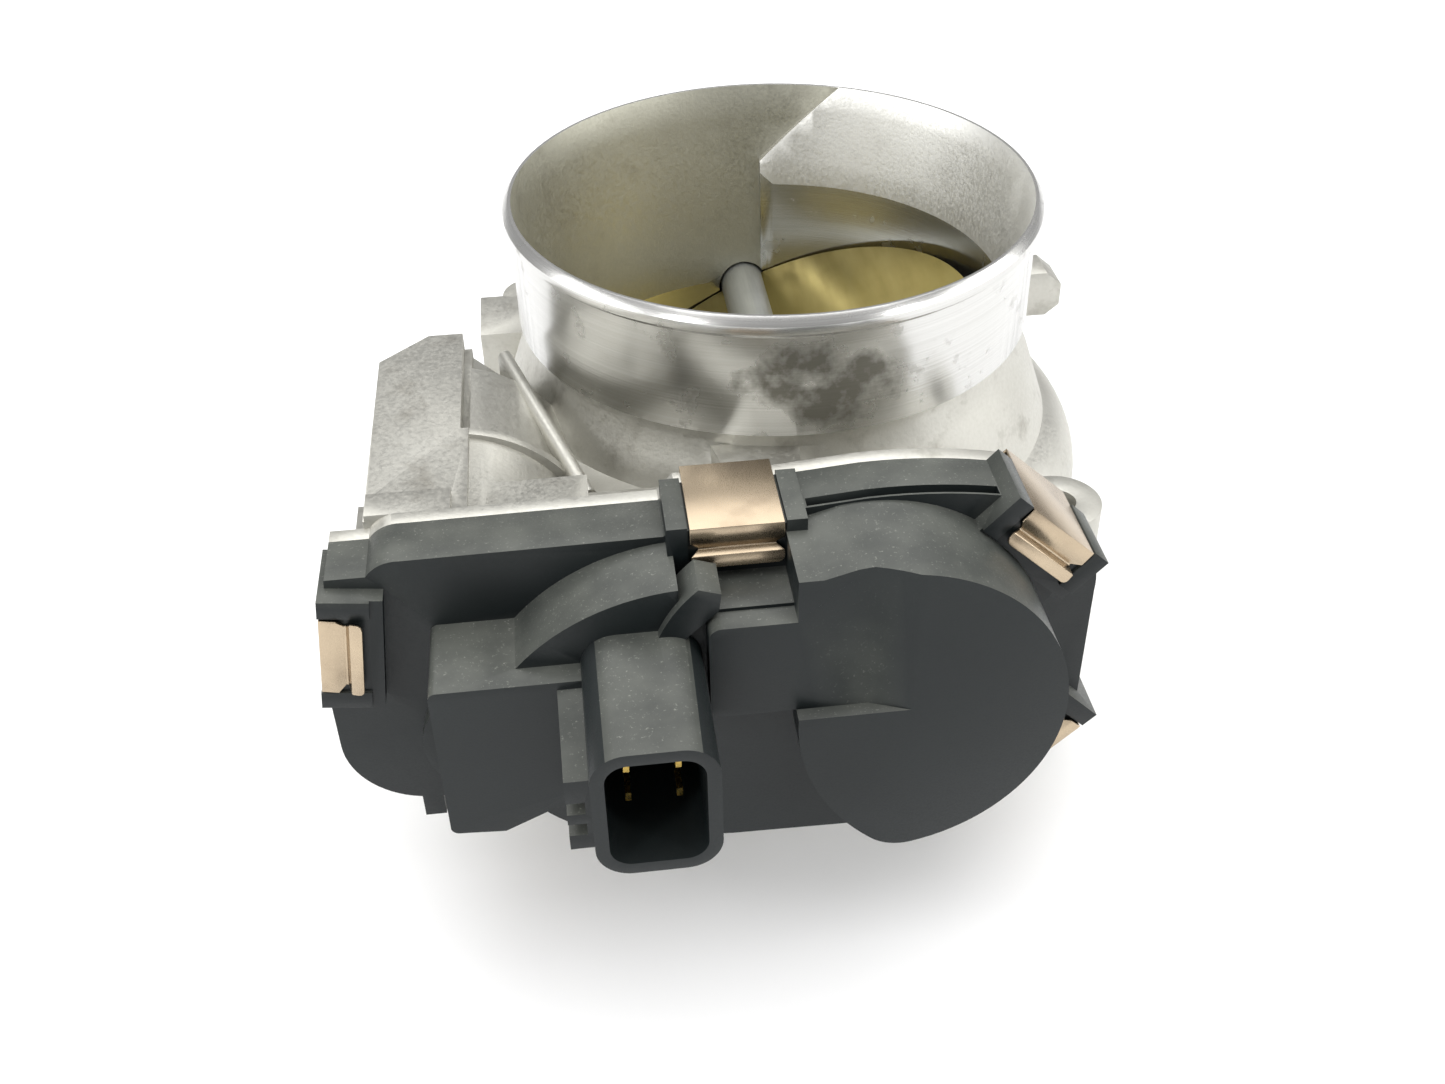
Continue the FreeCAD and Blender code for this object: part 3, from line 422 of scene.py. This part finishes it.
def clipSeats():
    # for each CAD clip: how far it is turned about Y, and where its seat is in that turned view
    seats = []
    shell = bmesh.new()
    shell.from_mesh(frame["nodes"]["cover_clips"].data)
    bmesh.ops.remove_doubles(shell, verts=shell.verts, dist=mm(edgeLook["mergeMm"]))
    left = set(shell.verts)
    caseX = (cadBounds[0].x + cadBounds[1].x) / 2.0
    caseZ = mm(55.0)
    while left:
        start = min(left, key=lambda v: tuple(round(c, 5) for c in v.co))
        group, queue = {start}, [start]
        while queue:
            for edge in queue.pop().link_edges:
                for vertex in edge.verts:
                    if vertex not in group:
                        group.add(vertex)
                        queue.append(vertex)
        left -= group
        spots = [(v.co.x, v.co.z) for v in group]
        awayX = (max(x for x, z in spots) + min(x for x, z in spots)) / 2.0 - caseX
        awayZ = (max(z for x, z in spots) + min(z for x, z in spots)) / 2.0 - caseZ
        best = None
        for quarterDegrees in range(360 * 4):
            turn = math.radians(quarterDegrees / 4.0)
            if awayZ * math.cos(turn) - awayX * math.sin(turn) <= 0:
                continue
            across = [x * math.cos(turn) + z * math.sin(turn) for x, z in spots]
            rise = [z * math.cos(turn) - x * math.sin(turn) for x, z in spots]
            height = max(rise) - min(rise)
            if best is None or height < best[0]:
                best = (height, turn, (max(across) + min(across)) / 2.0, max(rise) - mm(clipShape["topMm"]))
        seats.append(best[1:])
    shell.free()
    return seats


def selectVertices(strip, chosen):
    mesh = bmesh.from_edit_mesh(strip.data)
    bpy.ops.mesh.select_all(action="DESELECT")
    for vertex in mesh.verts:
        vertex.select = chosen(vertex)
    mesh.select_flush(True)


def bentStrip():
    rows = clipShape["rows"]
    y, z, half = rows[0]
    deselect()
    bpy.ops.mesh.primitive_plane_add(size=1.0)
    strip = bpy.context.object
    bpy.ops.object.mode_set(mode="EDIT")
    bpy.ops.mesh.delete(type="ONLY_FACE")
    selectVertices(strip, lambda vertex: vertex.co.y > 0)
    bpy.ops.mesh.delete(type="VERT")
    bpy.ops.mesh.select_all(action="SELECT")
    bpy.ops.transform.resize(value=(2.0 * mm(half), 1.0, 1.0), center_override=(0.0, 0.0, 0.0))
    bpy.ops.transform.translate(value=(0.0, 0.5 + mm(y), mm(z)))
    for nextY, nextZ, nextHalf in rows[1:]:
        step = (0.0, mm(nextY - y), mm(nextZ - z))
        bpy.ops.mesh.extrude_region_move(TRANSFORM_OT_translate={"value": step})
        bpy.ops.transform.resize(value=(nextHalf / half, 1.0, 1.0), center_override=(0.0, 0.0, 0.0))
        y, z, half = nextY, nextZ, nextHalf
    # round the folds, then the two lower corners of the lip
    mesh = bmesh.from_edit_mesh(strip.data)
    for edge in mesh.edges:
        foldLine = abs(edge.verts[0].co.x - edge.verts[1].co.x) > mm(5.0)
        edge.select = foldLine and len(edge.link_faces) == 2
    bpy.ops.mesh.bevel(offset=mm(clipShape["foldMm"]), segments=4, affect="EDGES", clamp_overlap=True)
    selectVertices(strip, lambda vertex: vertex.co.z < mm(-5.9))
    bpy.ops.mesh.bevel(offset=mm(clipShape["cornerMm"]), segments=3, affect="VERTICES")
    bpy.ops.mesh.select_all(action="SELECT")
    bpy.ops.mesh.normals_make_consistent(inside=False)
    bpy.ops.object.mode_set(mode="OBJECT")
    thick = strip.modifiers.new("sheetThickness", "SOLIDIFY")
    thick.thickness = mm(clipShape["thickMm"])
    thick.offset = 0.0
    bpy.ops.object.modifier_apply(modifier="sheetThickness")
    edges = strip.modifiers.new("brokenEdges", "BEVEL")
    edges.width = mm(clipShape["brokenEdgeMm"])
    edges.segments = 2
    edges.limit_method = "ANGLE"
    edges.angle_limit = math.radians(50.0)
    bpy.ops.object.modifier_apply(modifier="brokenEdges")
    bpy.ops.object.shade_smooth_by_angle(angle=math.radians(40.0))
    return strip


firstClip = bentStrip()
clips = [firstClip]
seats = clipSeats()
for seat in seats[1:]:
    twin = firstClip.copy()
    twin.data = firstClip.data.copy()
    bpy.context.scene.collection.objects.link(twin)
    clips.append(twin)
for number, (clip, (turn, across, rise)) in enumerate(zip(clips, seats), start=1):
    clip.name = clip.data.name = "coverClip" + str(number)
    clip.data.transform(Matrix.Rotation(-turn, 4, "Y") @ Matrix.Translation((across, 0.0, rise)))
    clip.data.materials.append(looks["clip_steel"])
    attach(clip, "housing")
    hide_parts("cover_clips")
print("clips made", len(clips))

studioLook = {"floorSize": 40.0, "floorLight": "#F4F4F4", "floorDark": "#EEEEEE", "roomStrength": 0.45}

bpy.ops.mesh.primitive_plane_add(size=studioLook["floorSize"], location=(0.0, 0.0, cadBounds[0].z))
floor = bpy.context.object
floor.name = "studioFloor"
floorMaterial, floorTree, floorShader = newMaterial("paleStudioPaper", 0.9)
floorGrain = addNode(floorTree, "ShaderNodeTexNoise", {"Scale": 3.0, "Detail": 2.0})
paper = mixColours(floorTree, floorGrain.outputs["Fac"], colour(studioLook["floorLight"]),
                   colour(studioLook["floorDark"]))
floorTree.links.new(paper, floorShader.inputs["Base Color"])
floor.data.materials.append(floorMaterial)

world = bpy.data.worlds.new("studioRoom")
bpy.context.scene.world = world
world.use_nodes = True
room = world.node_tree.nodes["Background"]
room.inputs["Color"].default_value = (1.0, 1.0, 1.0, 1.0)
room.inputs["Strength"].default_value = studioLook["roomStrength"]


# each lamp: place, width, height and power; the two small ones give the collar its bright bands
lamps = {
    "overheadLight": ((0.0, 0.1, 1.0), 1.5, 1.5, 16.0),
    "leftWall": ((-0.9, -0.1, 0.35), 0.6, 0.5, 3.5),
    "rightWall": ((0.9, -0.1, 0.35), 0.6, 0.5, 3.0),
    "leftLamp": ((-0.5, -0.5, 0.4), 0.1, 0.3, 1.2),
    "rightLamp": ((0.55, -0.5, 0.4), 0.1, 0.3, 1.2),
}
lampAim = Vector((0.0, -0.03, 0.05))
for name, (spot, width, height, power) in lamps.items():
    bpy.ops.object.light_add(type="AREA", location=spot)
    light = bpy.context.object
    light.name = name
    light.data.shape = "RECTANGLE"
    light.data.size = width
    light.data.size_y = height
    light.data.energy = power
    light.rotation_euler = (lampAim - Vector(spot)).to_track_quat("-Z", "Y").to_euler()
print("floor and lamps placed", len(lamps))

cameraLook = {"yaw": 6.0, "elevation": 37.99, "roll": -1.32, "lens": 38.616,
              "spot": (-0.0393, -0.2699, 0.2273)}
bpy.ops.object.camera_add(location=cameraLook["spot"])
camera = bpy.context.object
camera.name = "studioCamera"
turn = Matrix.Rotation(math.radians(-cameraLook["yaw"]), 3, "Z")
tilt = Matrix.Rotation(math.radians(90.0 - cameraLook["elevation"]), 3, "X")
roll = Matrix.Rotation(math.radians(cameraLook["roll"]), 3, "Z")
camera.rotation_euler = (turn @ tilt @ roll).to_euler()
camera.data.sensor_width = 36.0
camera.data.lens = cameraLook["lens"]
camera.data.clip_start = 0.01
bpy.context.scene.camera = camera
bpy.context.scene.view_settings.view_transform = "Standard"
print("camera placed")
